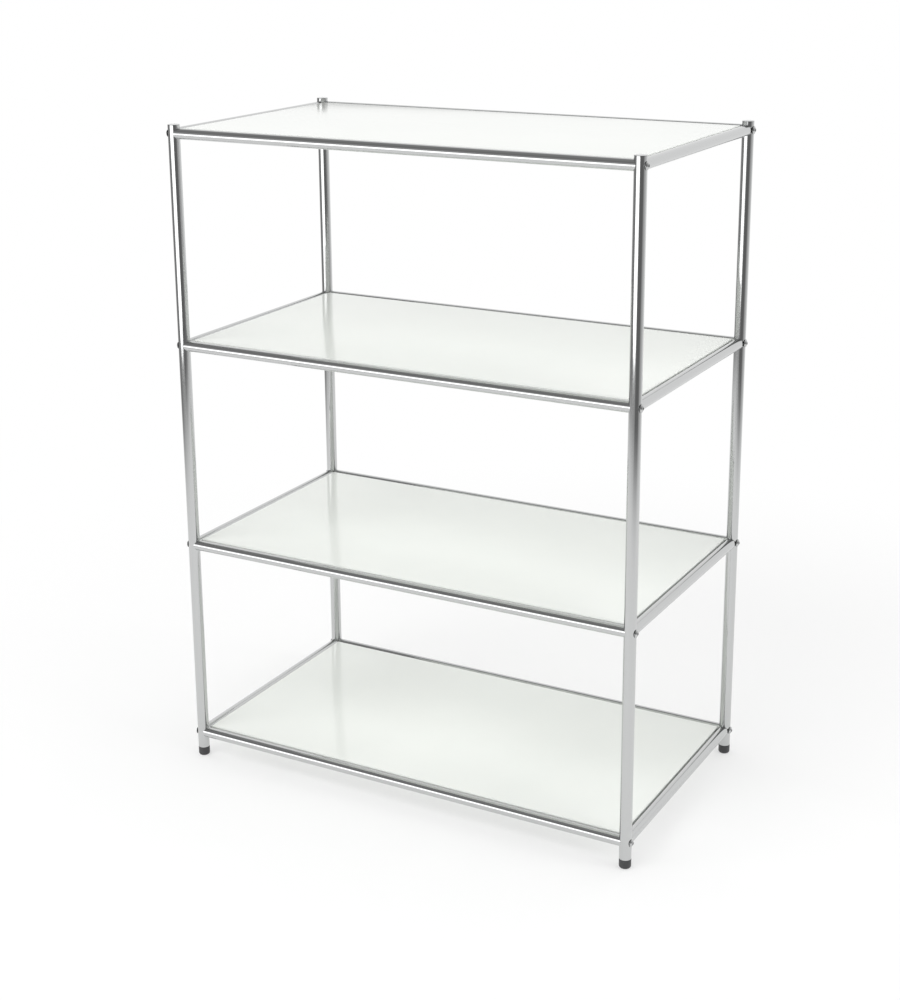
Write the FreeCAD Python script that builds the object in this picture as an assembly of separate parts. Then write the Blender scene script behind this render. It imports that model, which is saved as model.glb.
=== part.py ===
"""Open bookcase of chromed round tube with four sheet-steel shelves.

The posts and side rails make two welded end frames. The long rails are coped to fit round the posts
and are bolted on through them, into threaded plugs in the rail ends. The shelves are folded trays
that lie on tabs inside each level's frame of rails. Millimetres; +Z is up, the front faces -Y, and
the origin is on the floor under the middle of the bookcase.
"""
import math
import os

import FreeCAD
import Part

# Frame of tubes
POST_SPACING_X = 830.0
POST_SPACING_Y = 450.0
POST_DIAMETER = 20.0
POST_WALL = 1.5
POST_RISE = 15.0
RAIL_DIAMETER = 18.0
RAIL_WALL = 1.5
COPE_GAP = 0.05
CORNER_GAP = 0.3

# Levels, measured to the axes of the rails
LEVEL_NAMES = ("bottom", "lower", "upper", "top")
BOTTOM_LEVEL_HEIGHT = 45.0
TIER_HEIGHT = 360.0

# Bolted corner joint
BOLT_DIAMETER = 6.0
BOLT_HOLE_DIAMETER = 6.6
BOLT_THREAD_GAP = 0.05
BOLT_GRIP_IN_PLUG = 17.0
HEAD_DIAMETER = 13.6
HEAD_RIM = 1.0
HEAD_HEIGHT = 3.6
SOCKET_SIDES = 6
SOCKET_ACROSS_FLATS = 4.0
SOCKET_DEPTH = 2.2
PLUG_INSET = 6.0
PLUG_LENGTH = 25.0
PLUG_GAP = 0.05

# Shelf trays and what carries them
SHEET = 1.0
SHELF_DROP = 1.0
SHELF_GAP = 0.8
SHELF_BEND_RADIUS = 2.0
SHELF_LIP = 12.0
LIP_CORNER_SLOT = 1.0
STIFFENER_CROWN = 40.0
STIFFENER_FLANGE = 14.0
STIFFENER_DEPTH = 8.0
STIFFENER_END_GAP = 3.0
TAB_WIDTH = 22.0
TAB_THICKNESS = 1.8
TAB_RISE = 2.2
TAB_REACH = 9.0
LONG_TAB_OFFSET = 250.0

# Feet and the ends of the posts
FOOT_HEIGHT = 16.0
FOOT_EDGE_RADIUS = 4.0
FOOT_SEAT_GAP = 0.3
FOOT_FLOOR = 5.0
STEM_DIAMETER = 8.0
STEM_PROJECTION = 20.0
STEM_TIP_CHAMFER = 1.0
STEM_GAP = 0.05
INSERT_LENGTH = 16.0
INSERT_GAP = 0.05
CAP_FLANGE = 1.5
CAP_EDGE_CHAMFER = 0.5
CAP_SPIGOT = 8.0
CAP_GAP = 0.05

# Values worked out from the sizes above
POST_RADIUS = POST_DIAMETER / 2
POST_BORE_RADIUS = POST_RADIUS - POST_WALL
RAIL_RADIUS = RAIL_DIAMETER / 2
RAIL_BORE_RADIUS = RAIL_RADIUS - RAIL_WALL
LEVEL_HEIGHTS = [BOTTOM_LEVEL_HEIGHT + TIER_HEIGHT * step for step in range(len(LEVEL_NAMES))]
POST_BOTTOM = FOOT_HEIGHT + FOOT_SEAT_GAP
POST_TOP = LEVEL_HEIGHTS[-1] + POST_RISE
TUBE_TOP = POST_TOP - CAP_FLANGE
PLUG_START = POST_RADIUS + PLUG_INSET
SHELF_RISE = RAIL_RADIUS - SHELF_DROP
SHELF_DEPTH = SHELF_RISE + RAIL_RADIUS - TAB_RISE
SHELF_INSET = RAIL_RADIUS + SHELF_GAP
SHELF_X = POST_SPACING_X - 2 * SHELF_INSET
SHELF_Y = POST_SPACING_Y - 2 * SHELF_INSET

SIDES_X = {"left": -1, "right": 1}
SIDES_Y = {"front": -1, "rear": 1}

AXIS_X = FreeCAD.Vector(1, 0, 0)
AXIS_Y = FreeCAD.Vector(0, 1, 0)
AXIS_Z = FreeCAD.Vector(0, 0, 1)


def point(x, y, z):
    return FreeCAD.Vector(x, y, z)


def corners():
    """Yield each post's name, the signs of its side and the place of its axis."""
    for front_name, sign_y in SIDES_Y.items():
        for side_name, sign_x in SIDES_X.items():
            place = point(sign_x * POST_SPACING_X / 2, sign_y * POST_SPACING_Y / 2, 0)
            yield f"{front_name}_{side_name}", sign_x, sign_y, place


def box(size_x, size_y, size_z, middle_x, middle_y, bottom_z):
    """A box given by its sizes, the middle of its plan and its lower face."""
    corner = point(middle_x - size_x / 2, middle_y - size_y / 2, bottom_z)
    return Part.makeBox(size_x, size_y, size_z, corner)


def turned(outline):
    """A solid turned about +Z from an outline of (radius, height) points, each closed by a line."""
    points = [point(radius, 0, height) for radius, height in outline]
    wire = Part.makePolygon(points + points[:1])
    return Part.Face(wire).revolve(point(0, 0, 0), AXIS_Z, 360)


def tube(radius, wall, length, start, axis):
    outer = Part.makeCylinder(radius, length, start, axis)
    inner = Part.makeCylinder(radius - wall, length, start, axis)
    return outer.cut(inner)


def post_tube(place):
    """A post with a cross hole for the bolt of the long rail on each level."""
    start = point(place.x, place.y, POST_BOTTOM)
    post = tube(POST_RADIUS, POST_WALL, TUBE_TOP - POST_BOTTOM, start, AXIS_Z)
    for height in LEVEL_HEIGHTS:
        hole_start = point(place.x - POST_DIAMETER, place.y, height)
        hole = Part.makeCylinder(BOLT_HOLE_DIAMETER / 2, 2 * POST_DIAMETER, hole_start, AXIS_X)
        post = post.cut(hole)
    return post


def post_cutter(place, height, gap):
    """The room that a post takes from a rail which meets it at a height."""
    reach = RAIL_DIAMETER
    start = point(place.x, place.y, height - reach)
    return Part.makeCylinder(POST_RADIUS + gap, 2 * reach, start, AXIS_Z)


def side_rail(sign_x, height):
    """A side rail, coped to the two posts that it is welded between."""
    x = sign_x * POST_SPACING_X / 2
    rail = tube(RAIL_RADIUS, RAIL_WALL, POST_SPACING_Y, point(x, -POST_SPACING_Y / 2, height), AXIS_Y)
    for sign_y in SIDES_Y.values():
        place = point(x, sign_y * POST_SPACING_Y / 2, 0)
        rail = rail.cut(post_cutter(place, height, COPE_GAP))
    return rail


def long_rail(sign_y, height):
    """A front or rear rail, coped to the posts and notched where the side rails reach the corner."""
    y = sign_y * POST_SPACING_Y / 2
    rail = tube(RAIL_RADIUS, RAIL_WALL, POST_SPACING_X, point(-POST_SPACING_X / 2, y, height), AXIS_X)
    for sign_x in SIDES_X.values():
        place = point(sign_x * POST_SPACING_X / 2, y, height)
        rail = rail.cut(post_cutter(place, height, COPE_GAP))
        notch_axis = point(0, -sign_y, 0)
        notch = Part.makeCylinder(RAIL_RADIUS + CORNER_GAP, POST_DIAMETER, place, notch_axis)
        rail = rail.cut(notch)
    return rail


def rail_bolt():
    """A bolt lying along -X with its head's seat at x = 0, a domed head and a hex socket."""
    length = POST_RADIUS + PLUG_START + BOLT_GRIP_IN_PLUG
    head_radius = HEAD_DIAMETER / 2
    dome_height = HEAD_HEIGHT - HEAD_RIM
    ball_radius = (head_radius ** 2 + dome_height ** 2) / (2 * dome_height)
    shank = Part.makeCylinder(BOLT_DIAMETER / 2, length, point(0, 0, -length))
    ball = Part.makeSphere(ball_radius, point(0, 0, HEAD_HEIGHT - ball_radius))
    head = Part.makeCylinder(head_radius, HEAD_HEIGHT).common(ball)
    socket_radius = SOCKET_ACROSS_FLATS / 2 / math.cos(math.pi / SOCKET_SIDES)
    outline = []
    for corner in range(SOCKET_SIDES):
        angle = 2 * math.pi * corner / SOCKET_SIDES
        outline.append(point(socket_radius * math.cos(angle), socket_radius * math.sin(angle), HEAD_HEIGHT))
    socket_face = Part.Face(Part.makePolygon(outline + outline[:1]))
    socket = socket_face.extrude(point(0, 0, -SOCKET_DEPTH))
    bolt = shank.fuse(head).removeSplitter().cut(socket)
    bolt.rotate(point(0, 0, 0), AXIS_Y, 90)
    return bolt


def rail_plug():
    """A threaded plug inside a long rail's end, drawn for a post whose axis is at x = 0."""
    start = point(-PLUG_START, 0, 0)
    inward = point(-1, 0, 0)
    plug = Part.makeCylinder(RAIL_BORE_RADIUS - PLUG_GAP, PLUG_LENGTH, start, inward)
    thread = Part.makeCylinder(BOLT_DIAMETER / 2 + BOLT_THREAD_GAP, PLUG_LENGTH, start, inward)
    return plug.cut(thread)


def corner_group(shape, height, outward=0.0):
    """The four copies on one level of a corner-joint piece that is drawn for the right side."""
    solids = []
    for _, sign_x, _, place in corners():
        placed = shape.copy() if sign_x > 0 else shape.mirror(point(0, 0, 0), AXIS_X)
        placed.translate(point(place.x + sign_x * outward, place.y, height))
        solids.append(placed)
    return Part.makeCompound(solids)


def shelf_tray(height):
    """A tray folded down on four sides, with lips turned inward under its edge."""
    top = height + SHELF_RISE
    bottom = top - SHELF_DEPTH
    block = box(SHELF_X, SHELF_Y, SHELF_DEPTH, 0, 0, bottom)
    upper_edges = [edge for edge in block.Edges if edge.BoundBox.ZMin > bottom]
    block = block.makeFillet(SHELF_BEND_RADIUS, upper_edges)
    lower_face = min(block.Faces, key=lambda face: face.CenterOfMass.z)
    shell = block.makeThickness([lower_face], -SHEET, SHEET / 1000)
    inner_x = SHELF_X - 2 * SHEET
    inner_y = SHELF_Y - 2 * SHEET
    lip = box(inner_x, inner_y, SHEET, 0, 0, bottom)
    lip_opening = box(inner_x - 2 * SHELF_LIP, inner_y - 2 * SHELF_LIP, SHEET, 0, 0, bottom)
    lip = lip.cut(lip_opening)
    for _, sign_x, sign_y, _ in corners():
        slot = box(4 * SHELF_LIP, LIP_CORNER_SLOT, SHEET, 0, 0, bottom)
        slot.rotate(point(0, 0, 0), AXIS_Z, 45 * sign_x * sign_y)
        slot.translate(point(sign_x * inner_x / 2, sign_y * inner_y / 2, 0))
        lip = lip.cut(slot)
    return shell.fuse(lip).removeSplitter()


def shelf_stiffener(height):
    """A hat channel spot-welded lengthwise under the sheet of a shelf."""
    top = height + SHELF_RISE - SHEET
    half_crown = STIFFENER_CROWN / 2
    outer = half_crown + STIFFENER_FLANGE
    outline = [
        (-outer, top),
        (-half_crown + SHEET, top),
        (-half_crown + SHEET, top - STIFFENER_DEPTH + SHEET),
        (half_crown - SHEET, top - STIFFENER_DEPTH + SHEET),
        (half_crown - SHEET, top),
        (outer, top),
        (outer, top - SHEET),
        (half_crown, top - SHEET),
        (half_crown, top - STIFFENER_DEPTH),
        (-half_crown, top - STIFFENER_DEPTH),
        (-half_crown, top - SHEET),
        (-outer, top - SHEET),
    ]
    length = SHELF_X - 2 * (SHEET + STIFFENER_END_GAP)
    points = [point(-length / 2, y, z) for y, z in outline]
    return Part.Face(Part.makePolygon(points + points[:1])).extrude(point(length, 0, 0))


def shelf_tabs(height):
    """Six tabs welded low on the inner sides of the rails, which reach in below the lips of a shelf."""
    bottom = height - RAIL_RADIUS + TAB_RISE - TAB_THICKNESS
    length = SHELF_INSET + TAB_REACH
    tabs = []
    for sign_y in SIDES_Y.values():
        rail_y = sign_y * POST_SPACING_Y / 2
        rail_start = point(-POST_SPACING_X / 2, rail_y, height)
        rail = Part.makeCylinder(RAIL_RADIUS, POST_SPACING_X, rail_start, AXIS_X)
        for offset in (-LONG_TAB_OFFSET, LONG_TAB_OFFSET):
            tab = box(TAB_WIDTH, length, TAB_THICKNESS, offset, rail_y - sign_y * length / 2, bottom)
            tabs.append(tab.cut(rail))
    for sign_x in SIDES_X.values():
        rail_x = sign_x * POST_SPACING_X / 2
        rail_start = point(rail_x, -POST_SPACING_Y / 2, height)
        rail = Part.makeCylinder(RAIL_RADIUS, POST_SPACING_Y, rail_start, AXIS_Y)
        tab = box(length, TAB_WIDTH, TAB_THICKNESS, rail_x - sign_x * length / 2, 0, bottom)
        tabs.append(tab.cut(rail))
    return Part.makeCompound(tabs)


def levelling_foot():
    """A foot with a rounded lower edge, moulded round the stem that screws into the post."""
    foot = Part.makeCylinder(POST_RADIUS, FOOT_HEIGHT)
    lower_edge = [edge for edge in foot.Edges if edge.BoundBox.ZMax < FOOT_HEIGHT / 2]
    foot = foot.makeFillet(FOOT_EDGE_RADIUS, lower_edge)
    socket = Part.makeCylinder(STEM_DIAMETER / 2, FOOT_HEIGHT - FOOT_FLOOR, point(0, 0, FOOT_FLOOR))
    return foot.cut(socket)


def foot_stem():
    """A threaded stem, from inside the foot up into the insert of the post."""
    radius = STEM_DIAMETER / 2
    top = FOOT_HEIGHT + STEM_PROJECTION
    return turned([
        (0, FOOT_FLOOR),
        (radius, FOOT_FLOOR),
        (radius, top - STEM_TIP_CHAMFER),
        (radius - STEM_TIP_CHAMFER, top),
        (0, top),
    ])


def foot_insert():
    """A threaded bush pressed into the lower end of a post."""
    bush = Part.makeCylinder(POST_BORE_RADIUS - INSERT_GAP, INSERT_LENGTH, point(0, 0, POST_BOTTOM))
    thread = Part.makeCylinder(STEM_DIAMETER / 2 + STEM_GAP, INSERT_LENGTH, point(0, 0, POST_BOTTOM))
    return bush.cut(thread)


def post_cap():
    """A plug that closes a post's upper end with a flat disc of the post's diameter."""
    disc = Part.makeCylinder(POST_RADIUS, CAP_FLANGE, point(0, 0, TUBE_TOP))
    upper_edge = [edge for edge in disc.Edges if edge.BoundBox.ZMin > TUBE_TOP + CAP_FLANGE / 2]
    disc = disc.makeChamfer(CAP_EDGE_CHAMFER, upper_edge)
    spigot = Part.makeCylinder(POST_BORE_RADIUS - CAP_GAP, CAP_SPIGOT, point(0, 0, TUBE_TOP - CAP_SPIGOT))
    return disc.fuse(spigot).removeSplitter()


def standing_at(shape, place):
    placed = shape.copy()
    placed.translate(place)
    return placed


def build_nodes():
    """Every piece of the bookcase under its name."""
    nodes = {}
    for name, _, _, place in corners():
        nodes[f"post_{name}"] = post_tube(place)
        nodes[f"post_cap_{name}"] = standing_at(post_cap(), place)
        nodes[f"foot_{name}"] = standing_at(levelling_foot(), place)
        nodes[f"foot_stem_{name}"] = standing_at(foot_stem(), place)
        nodes[f"foot_insert_{name}"] = standing_at(foot_insert(), place)
    for level, height in zip(LEVEL_NAMES, LEVEL_HEIGHTS):
        for front_name, sign_y in SIDES_Y.items():
            nodes[f"{front_name}_rail_{level}"] = long_rail(sign_y, height)
        for side_name, sign_x in SIDES_X.items():
            nodes[f"{side_name}_rail_{level}"] = side_rail(sign_x, height)
        nodes[f"shelf_{level}"] = shelf_tray(height)
        nodes[f"shelf_stiffener_{level}"] = shelf_stiffener(height)
        nodes[f"shelf_tabs_{level}"] = shelf_tabs(height)
        nodes[f"rail_plugs_{level}"] = corner_group(rail_plug(), height)
        nodes[f"rail_bolts_{level}"] = corner_group(rail_bolt(), height, POST_RADIUS)
    return nodes


def main():
    os.makedirs("parts", exist_ok=True)
    for name, shape in build_nodes().items():
        shape.exportStep(f"parts/{name}.step")


main()
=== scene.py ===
"""Looks of an open bookcase of chromed tube with enamelled steel shelves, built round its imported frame."""

import math

import bmesh
import bpy
from mathutils import Matrix, Vector


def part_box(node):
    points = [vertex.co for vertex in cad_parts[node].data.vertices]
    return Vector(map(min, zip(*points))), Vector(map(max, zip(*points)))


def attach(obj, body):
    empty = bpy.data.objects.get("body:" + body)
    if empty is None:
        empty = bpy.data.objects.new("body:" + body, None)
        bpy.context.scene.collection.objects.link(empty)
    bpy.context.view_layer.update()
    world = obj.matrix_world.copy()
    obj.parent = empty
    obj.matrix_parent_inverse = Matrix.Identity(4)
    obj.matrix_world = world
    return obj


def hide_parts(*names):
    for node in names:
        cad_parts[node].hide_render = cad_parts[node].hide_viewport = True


bl_info = {
    "name": "Open tube bookcase",
    "version": (1, 0, 0),
    "blender": (4, 5, 0),
    "location": "3D View > Sidebar > Bookcase",
    "description": "Chromed tube bookcase with enamelled sheet-steel shelves, built round its packed frame",
    "category": "Object",
}

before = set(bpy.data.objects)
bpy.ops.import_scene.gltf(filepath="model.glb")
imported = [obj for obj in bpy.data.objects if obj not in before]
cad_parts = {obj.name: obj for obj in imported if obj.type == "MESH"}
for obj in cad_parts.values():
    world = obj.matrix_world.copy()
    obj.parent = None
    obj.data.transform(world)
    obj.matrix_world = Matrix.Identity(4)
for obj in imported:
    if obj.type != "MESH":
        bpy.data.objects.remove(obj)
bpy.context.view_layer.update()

MM = 0.001
LEVELS = ("bottom", "lower", "upper", "top")
CORNERS = {
    "front_left": (-1, -1),
    "front_right": (1, -1),
    "rear_left": (-1, 1),
    "rear_right": (1, 1),
}
TUBE_MAP = "along_tube"


def linear(hex_text):
    """The linear colour of an sRGB hex value."""
    values = []
    for start in (1, 3, 5):
        value = int(hex_text[start:start + 2], 16) / 255
        values.append(value / 12.92 if value <= 0.04045 else ((value + 0.055) / 1.055) ** 2.4)
    return tuple(values)


def node_box(name):
    """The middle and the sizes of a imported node."""
    low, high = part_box(name)
    return (low + high) / 2, high - low


post_middle, post_size = node_box("post_front_right")
rail_middle, rail_size = node_box("right_rail_bottom")
next_rail_middle = node_box("right_rail_lower")[0]
foot_size = node_box("foot_front_right")[1]
cap_middle, cap_size = node_box("post_cap_front_right")
shelf_size = node_box("shelf_bottom")[1]


class BookcaseTubes(bpy.types.PropertyGroup):
    """Sizes of the frame of tubes and its bolted corners."""

    half_x: bpy.props.FloatProperty(
        name="Half width", description="From the middle to a post's axis, along X",
        default=post_middle.x, unit="LENGTH")
    half_y: bpy.props.FloatProperty(
        name="Half depth", description="From the middle to a post's axis, along Y",
        default=-post_middle.y, unit="LENGTH")
    post_radius: bpy.props.FloatProperty(
        name="Post radius", description="Outer radius of the upright tubes",
        default=post_size.x / 2, unit="LENGTH")
    post_low: bpy.props.FloatProperty(
        name="Post bottom", description="Height of the lower end of the upright tubes",
        default=post_middle.z - post_size.z / 2, unit="LENGTH")
    post_high: bpy.props.FloatProperty(
        name="Post top", description="Height of the upper end of the upright tubes, under the caps",
        default=post_middle.z + post_size.z / 2, unit="LENGTH")
    cap_top: bpy.props.FloatProperty(
        name="Cap top", description="Height of the flat tops of the caps",
        default=cap_middle.z + cap_size.z / 2, unit="LENGTH")
    cap_bottom: bpy.props.FloatProperty(
        name="Cap bottom", description="Height of the lower end of the caps' spigots",
        default=cap_middle.z - cap_size.z / 2, unit="LENGTH")
    rail_radius: bpy.props.FloatProperty(
        name="Rail radius", description="Outer radius of the rails",
        default=rail_size.z / 2, unit="LENGTH")
    wall: bpy.props.FloatProperty(
        name="Tube wall", description="Wall of the posts and the rails",
        default=1.5 * MM, unit="LENGTH")
    cope_gap: bpy.props.FloatProperty(
        name="Cope gap", description="Play between a rail's hollowed end and the post",
        default=0.05 * MM, unit="LENGTH")
    notch_gap: bpy.props.FloatProperty(
        name="Notch gap", description="Play between a long rail's notch and the side rail",
        default=0.3 * MM, unit="LENGTH")
    first_level: bpy.props.FloatProperty(
        name="First level", description="Height of the lowest rails' axes",
        default=rail_middle.z, unit="LENGTH")
    tier: bpy.props.FloatProperty(
        name="Tier", description="From one level's rails to the next",
        default=next_rail_middle.z - rail_middle.z, unit="LENGTH")
    points_round: bpy.props.IntProperty(
        name="Points round a tube", description="Sides of a tube's outline", default=72, min=12)


class BookcaseBolts(bpy.types.PropertyGroup):
    """Sizes of the flanged bolts that hold the long rails."""

    head_radius: bpy.props.FloatProperty(
        name="Flange radius", description="Radius of the bolt head's flange",
        default=6.8 * MM, unit="LENGTH")
    dome_radius: bpy.props.FloatProperty(
        name="Dome radius", description="Radius of the dome on the flange",
        default=5.6 * MM, unit="LENGTH")
    flange: bpy.props.FloatProperty(
        name="Flange height", description="Height of the flange's rim",
        default=0.9 * MM, unit="LENGTH")
    height: bpy.props.FloatProperty(
        name="Head height", description="From the seat to the top of the dome",
        default=3.6 * MM, unit="LENGTH")
    socket: bpy.props.FloatProperty(
        name="Socket", description="Across the flats of the hexagon socket",
        default=4 * MM, unit="LENGTH")
    socket_depth: bpy.props.FloatProperty(
        name="Socket depth", description="Depth of the hexagon socket",
        default=2.2 * MM, unit="LENGTH")
    shank_radius: bpy.props.FloatProperty(
        name="Shank radius", description="Radius of the shank",
        default=3 * MM, unit="LENGTH")
    shank: bpy.props.FloatProperty(
        name="Shank length", description="From the seat to the tip",
        default=43 * MM, unit="LENGTH")


class BookcaseShelves(bpy.types.PropertyGroup):
    """Sizes of the folded sheet-steel shelves."""

    size_x: bpy.props.FloatProperty(
        name="Shelf width", description="Outer width of a shelf",
        default=shelf_size.x, unit="LENGTH")
    size_y: bpy.props.FloatProperty(
        name="Shelf depth", description="Outer depth of a shelf",
        default=shelf_size.y, unit="LENGTH")
    height: bpy.props.FloatProperty(
        name="Fold height", description="Height of a shelf's folded sides",
        default=shelf_size.z, unit="LENGTH")
    sheet: bpy.props.FloatProperty(
        name="Sheet", description="Thickness of the sheet steel",
        default=1 * MM, unit="LENGTH")
    bend: bpy.props.FloatProperty(
        name="Bend radius", description="Outer radius of the upper bends",
        default=2 * MM, unit="LENGTH")
    lip_bend: bpy.props.FloatProperty(
        name="Lip bend", description="Outer radius of the lower bends",
        default=1.5 * MM, unit="LENGTH")
    lip: bpy.props.FloatProperty(
        name="Lip", description="Width of the lips turned in under a shelf",
        default=13 * MM, unit="LENGTH")
    corner: bpy.props.FloatProperty(
        name="Corner radius", description="Rounding of the welded upright corners",
        default=1.5 * MM, unit="LENGTH")


class BookcaseFeet(bpy.types.PropertyGroup):
    """Sizes of the black levelling feet."""

    radius: bpy.props.FloatProperty(
        name="Foot radius", description="Outer radius of a foot",
        default=foot_size.x / 2, unit="LENGTH")
    height: bpy.props.FloatProperty(
        name="Foot height", description="Height of a foot",
        default=foot_size.z, unit="LENGTH")
    edge: bpy.props.FloatProperty(
        name="Lower edge", description="Rounding of the lower edge",
        default=4 * MM, unit="LENGTH")
    rim: bpy.props.FloatProperty(
        name="Upper edge", description="Rounding of the upper edge",
        default=0.5 * MM, unit="LENGTH")
    stem_radius: bpy.props.FloatProperty(
        name="Stem radius", description="Radius of the hole for the stem",
        default=4 * MM, unit="LENGTH")
    stem_floor: bpy.props.FloatProperty(
        name="Stem floor", description="Height of the bottom of the stem's hole",
        default=5 * MM, unit="LENGTH")


class BookcaseFinish(bpy.types.PropertyGroup):
    """Colours of the finishes."""

    chrome: bpy.props.FloatVectorProperty(
        name="Chrome", description="Reflected colour of the chromium plate",
        default=linear("#C6C7C7"), subtype="COLOR", size=3)
    chrome_pit: bpy.props.FloatVectorProperty(
        name="Pits", description="Colour of the small pits in old plate",
        default=linear("#6E6A62"), subtype="COLOR", size=3)
    enamel: bpy.props.FloatVectorProperty(
        name="Enamel", description="Colour of the stoved enamel",
        default=linear("#F0F2EE"), subtype="COLOR", size=3)
    enamel_shade: bpy.props.FloatVectorProperty(
        name="Enamel shade", description="Enamel where the coat lies thinner",
        default=linear("#EAEDE9"), subtype="COLOR", size=3)
    plastic: bpy.props.FloatVectorProperty(
        name="Foot plastic", description="Colour of the moulded feet",
        default=linear("#39393B"), subtype="COLOR", size=3)
    plastic_scuff: bpy.props.FloatVectorProperty(
        name="Foot scuffs", description="Plastic where the floor has rubbed it",
        default=linear("#575758"), subtype="COLOR", size=3)
    zinc: bpy.props.FloatVectorProperty(
        name="Zinc", description="Colour of the zinc plate",
        default=linear("#B9BDC1"), subtype="COLOR", size=3)
    zinc_shade: bpy.props.FloatVectorProperty(
        name="Zinc bloom", description="Zinc plate where it has dulled",
        default=linear("#9EA2A4"), subtype="COLOR", size=3)


class BookcaseStage(bpy.types.PropertyGroup):
    """The camera and the floor."""

    camera_place: bpy.props.FloatVectorProperty(
        name="Camera", description="Where the camera stands",
        default=(1.391, -2.553, 1.489), subtype="TRANSLATION", size=3, unit="LENGTH")
    camera_turn: bpy.props.FloatProperty(
        name="Turn", description="Camera's turn to the left",
        default=math.radians(28.99), subtype="ANGLE")
    camera_tilt: bpy.props.FloatProperty(
        name="Tilt", description="Camera's tilt downward",
        default=math.radians(15.80), subtype="ANGLE")
    camera_roll: bpy.props.FloatProperty(
        name="Roll", description="Camera's roll",
        default=math.radians(-0.42), subtype="ANGLE")
    camera_lens: bpy.props.FloatProperty(
        name="Lens", description="Focal length in millimetres", default=63.4)
    camera_rise: bpy.props.FloatProperty(
        name="Lens rise", description="Vertical shift of the lens", default=-0.100)
    floor_radius: bpy.props.FloatProperty(
        name="Floor radius", description="Radius of the round white floor",
        default=3.0, unit="LENGTH")
    floor: bpy.props.FloatVectorProperty(
        name="Floor", description="Colour of the floor",
        default=linear("#FAFAFA"), subtype="COLOR", size=3)


PROPERTY_GROUPS = {
    "bookcase_tubes": BookcaseTubes,
    "bookcase_bolts": BookcaseBolts,
    "bookcase_shelves": BookcaseShelves,
    "bookcase_feet": BookcaseFeet,
    "bookcase_finish": BookcaseFinish,
    "bookcase_stage": BookcaseStage,
}


def add(tree, kind, settings=None, links=None):
    """Add a node with its settings and the links into it, each from a socket or a node's first output."""
    node = tree.nodes.new(kind)
    for name, value in (settings or {}).items():
        if isinstance(name, str) and hasattr(node, name):
            setattr(node, name, value)
        else:
            node.inputs[name].default_value = value
    for name, source in (links or {}).items():
        socket = source.outputs[0] if isinstance(source, bpy.types.Node) else source
        tree.links.new(socket, node.inputs[name])
    return node


def new_material(name):
    """An empty node material with its output and shader."""
    made = bpy.data.materials.new(name)
    made.use_nodes = True
    tree = made.node_tree
    tree.nodes.clear()
    shader = add(tree, "ShaderNodeBsdfPrincipled")
    add(tree, "ShaderNodeOutputMaterial", links={"Surface": shader})
    return made, tree, shader


def link_surface(tree, shader, tone, rough, bump):
    """Lead a finish's colour, roughness and bump into its shader."""
    tree.links.new(tone.outputs["Result"], shader.inputs["Base Color"])
    tree.links.new(rough.outputs[0], shader.inputs["Roughness"])
    tree.links.new(bump.outputs[0], shader.inputs["Normal"])


def chromed_tube(finish):
    """Bright chromium plate on polished drawn tube."""
    # Polishing leaves hairlines along the tube, the draw leaves a slow ripple, and old plate has a few pits.
    made, tree, shader = new_material("chromium_plated_drawn_tube")
    shader.inputs["Metallic"].default_value = 1.0
    place = add(tree, "ShaderNodeUVMap", {"uv_map": TUBE_MAP})
    # The hairlines are coarser than real ones so that they show.
    hair_gap = 0.6 * MM
    hair_length = 90 * MM
    hair_place = add(tree, "ShaderNodeMapping", {"Scale": (1 / hair_gap, 1 / hair_length, 1)},
                     {"Vector": place})
    hair = add(tree, "ShaderNodeTexNoise", {"Scale": 1.0, "Detail": 3.0}, {"Vector": hair_place})
    # Handling leaves cloudy patches.
    cloud_width = 45 * MM
    cloud_length = 60 * MM
    cloud_place = add(tree, "ShaderNodeMapping", {"Scale": (1 / cloud_width, 1 / cloud_length, 1)},
                      {"Vector": place})
    cloud = add(tree, "ShaderNodeTexNoise", {"Scale": 1.0, "Detail": 4.0}, {"Vector": cloud_place})
    gloss = add(tree, "ShaderNodeMix", {"data_type": "FLOAT", "Factor": 0.5}, {"A": hair, "B": cloud})
    rough = add(tree, "ShaderNodeMapRange",
                {"From Min": 0.3, "From Max": 0.75, "To Min": 0.045, "To Max": 0.12}, {"Value": gloss})
    # Pits about 1 mm across stand in groups, larger than real ones so that they show.
    pit_gap = 7 * MM
    pit_place = add(tree, "ShaderNodeMapping", {"Scale": (1 / pit_gap, 1 / pit_gap, 1)}, {"Vector": place})
    pit = add(tree, "ShaderNodeTexVoronoi", {"Scale": 1.0}, {"Vector": pit_place})
    pit_size = add(tree, "ShaderNodeMapRange",
                   {"From Min": 0.62, "From Max": 0.80, "To Min": 0.0, "To Max": 0.09}, {"Value": cloud})
    pitted = add(tree, "ShaderNodeMath", {"operation": "LESS_THAN"}, {0: pit, 1: pit_size})
    tone = add(tree, "ShaderNodeMix",
               {"data_type": "RGBA", "A": (*finish.chrome, 1), "B": (*finish.chrome_pit, 1)},
               {"Factor": pitted})
    rough_all = add(tree, "ShaderNodeMix", {"data_type": "FLOAT", "B": 0.5}, {"Factor": pitted, "A": rough})
    # The ripple of the draw is a few thousandths of a millimetre deep.
    ripple_width = 30 * MM
    ripple_length = 40 * MM
    ripple_place = add(tree, "ShaderNodeMapping", {"Scale": (1 / ripple_width, 1 / ripple_length, 1)},
                       {"Vector": place})
    ripple = add(tree, "ShaderNodeTexNoise", {"Scale": 1.0, "Detail": 1.0}, {"Vector": ripple_place})
    waved = add(tree, "ShaderNodeBump", {"Strength": 0.25, "Distance": 0.015 * MM}, {"Height": ripple})
    lined = add(tree, "ShaderNodeBump", {"Strength": 0.10, "Distance": 0.002 * MM},
                {"Height": hair, "Normal": waved})
    link_surface(tree, shader, tone, rough_all, lined)
    return made


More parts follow.
